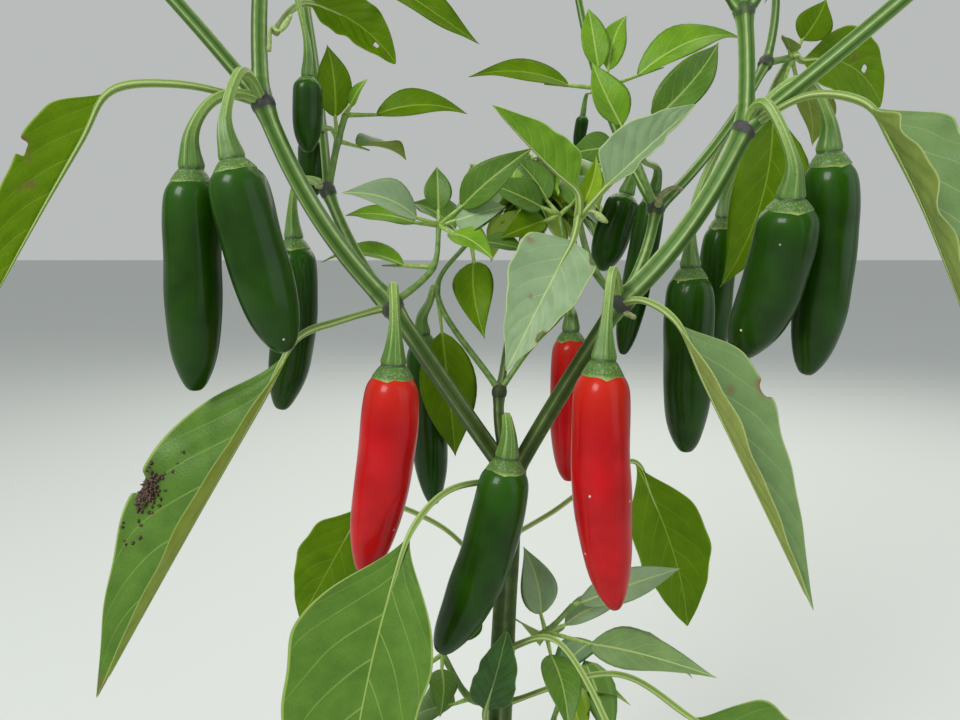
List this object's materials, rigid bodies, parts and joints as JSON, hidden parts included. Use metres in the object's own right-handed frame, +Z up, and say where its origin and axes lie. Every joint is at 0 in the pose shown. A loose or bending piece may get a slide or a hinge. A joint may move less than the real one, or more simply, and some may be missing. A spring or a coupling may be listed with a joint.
{
  "type": "chilli pepper plant",
  "caption": "Bushy chilli pepper plant with a forking green stem, hanging green and red fruit and pointed oval leaves, rooted in the ground.",
  "frame": {"origin": "middle of the flat cut under the main stem, at ground level", "axes": "+Z straight up from the ground, -Y towards the side that the picture shows, +X to its right"},
  "size_m": [0.4529, 0.2657, 0.6126],
  "materials": {
    "stem": "satin green, ribbed",
    "green_fruit": "glossy dark green skin",
    "red_fruit": "glossy red skin",
    "large_leaf": "satin leaf, veined",
    "foliage": "satin leaves on green twigs"
  },
  "bodies": {
    "root": {"main_stem": "stem", "left_bough": "stem", "right_bough": "stem", "centre_bough": "stem", "left_limb": "stem", "left_thin_limb": "stem", "left_upright": "stem", "left_leader": "stem", "left_rear_limb": "stem", "right_limb": "stem", "right_thin_limb": "stem", "right_upright": "stem", "right_inner_leader": "stem", "right_outer_leader": "stem", "right_leader": "stem", "right_rear_limb": "stem", "right_back_limb": "stem", "centre_rear_limb": "stem", "heart_limb": "stem", "chilli_red_left": "red_fruit", "chilli_red_right": "red_fruit", "chilli_green_front": "green_fruit", "chilli_left_outer": "green_fruit", "chilli_left_inner": "green_fruit", "chilli_left_small": "green_fruit", "chilli_left_rear": "green_fruit", "chilli_right_inner": "green_fruit", "chilli_right_front": "green_fruit", "chilli_right_outer": "green_fruit", "leaf_left_low": "large_leaf", "leaf_left_high": "large_leaf", "leaf_front_left": "large_leaf", "leaf_left_oval": "large_leaf", "leaf_right_low": "large_leaf", "leaf_right_back": "large_leaf", "leaf_right_high": "large_leaf", "leaf_foot_right": "large_leaf", "leaf_foot_far": "large_leaf", "spray_left_inner": "foliage", "spray_centre_left": "foliage", "spray_centre_right": "foliage", "spray_right_heart": "foliage", "spray_right_inner": "foliage", "spray_right_rear": "foliage", "spray_left_middle": "foliage", "spray_left_upper": "foliage", "spray_foot_left": "foliage", "spray_foot_right": "foliage", "mass_left_top": "foliage", "mass_left_far": "foliage", "mass_left_rear": "foliage", "mass_right_top_inner": "foliage", "mass_right_top_outer": "foliage", "mass_right_far": "foliage", "mass_right_back": "foliage", "mass_centre_rear": "foliage", "mass_heart": "foliage", "mass_foot_left": "foliage", "mass_foot_right": "foliage"}
  },
  "joints": []
}
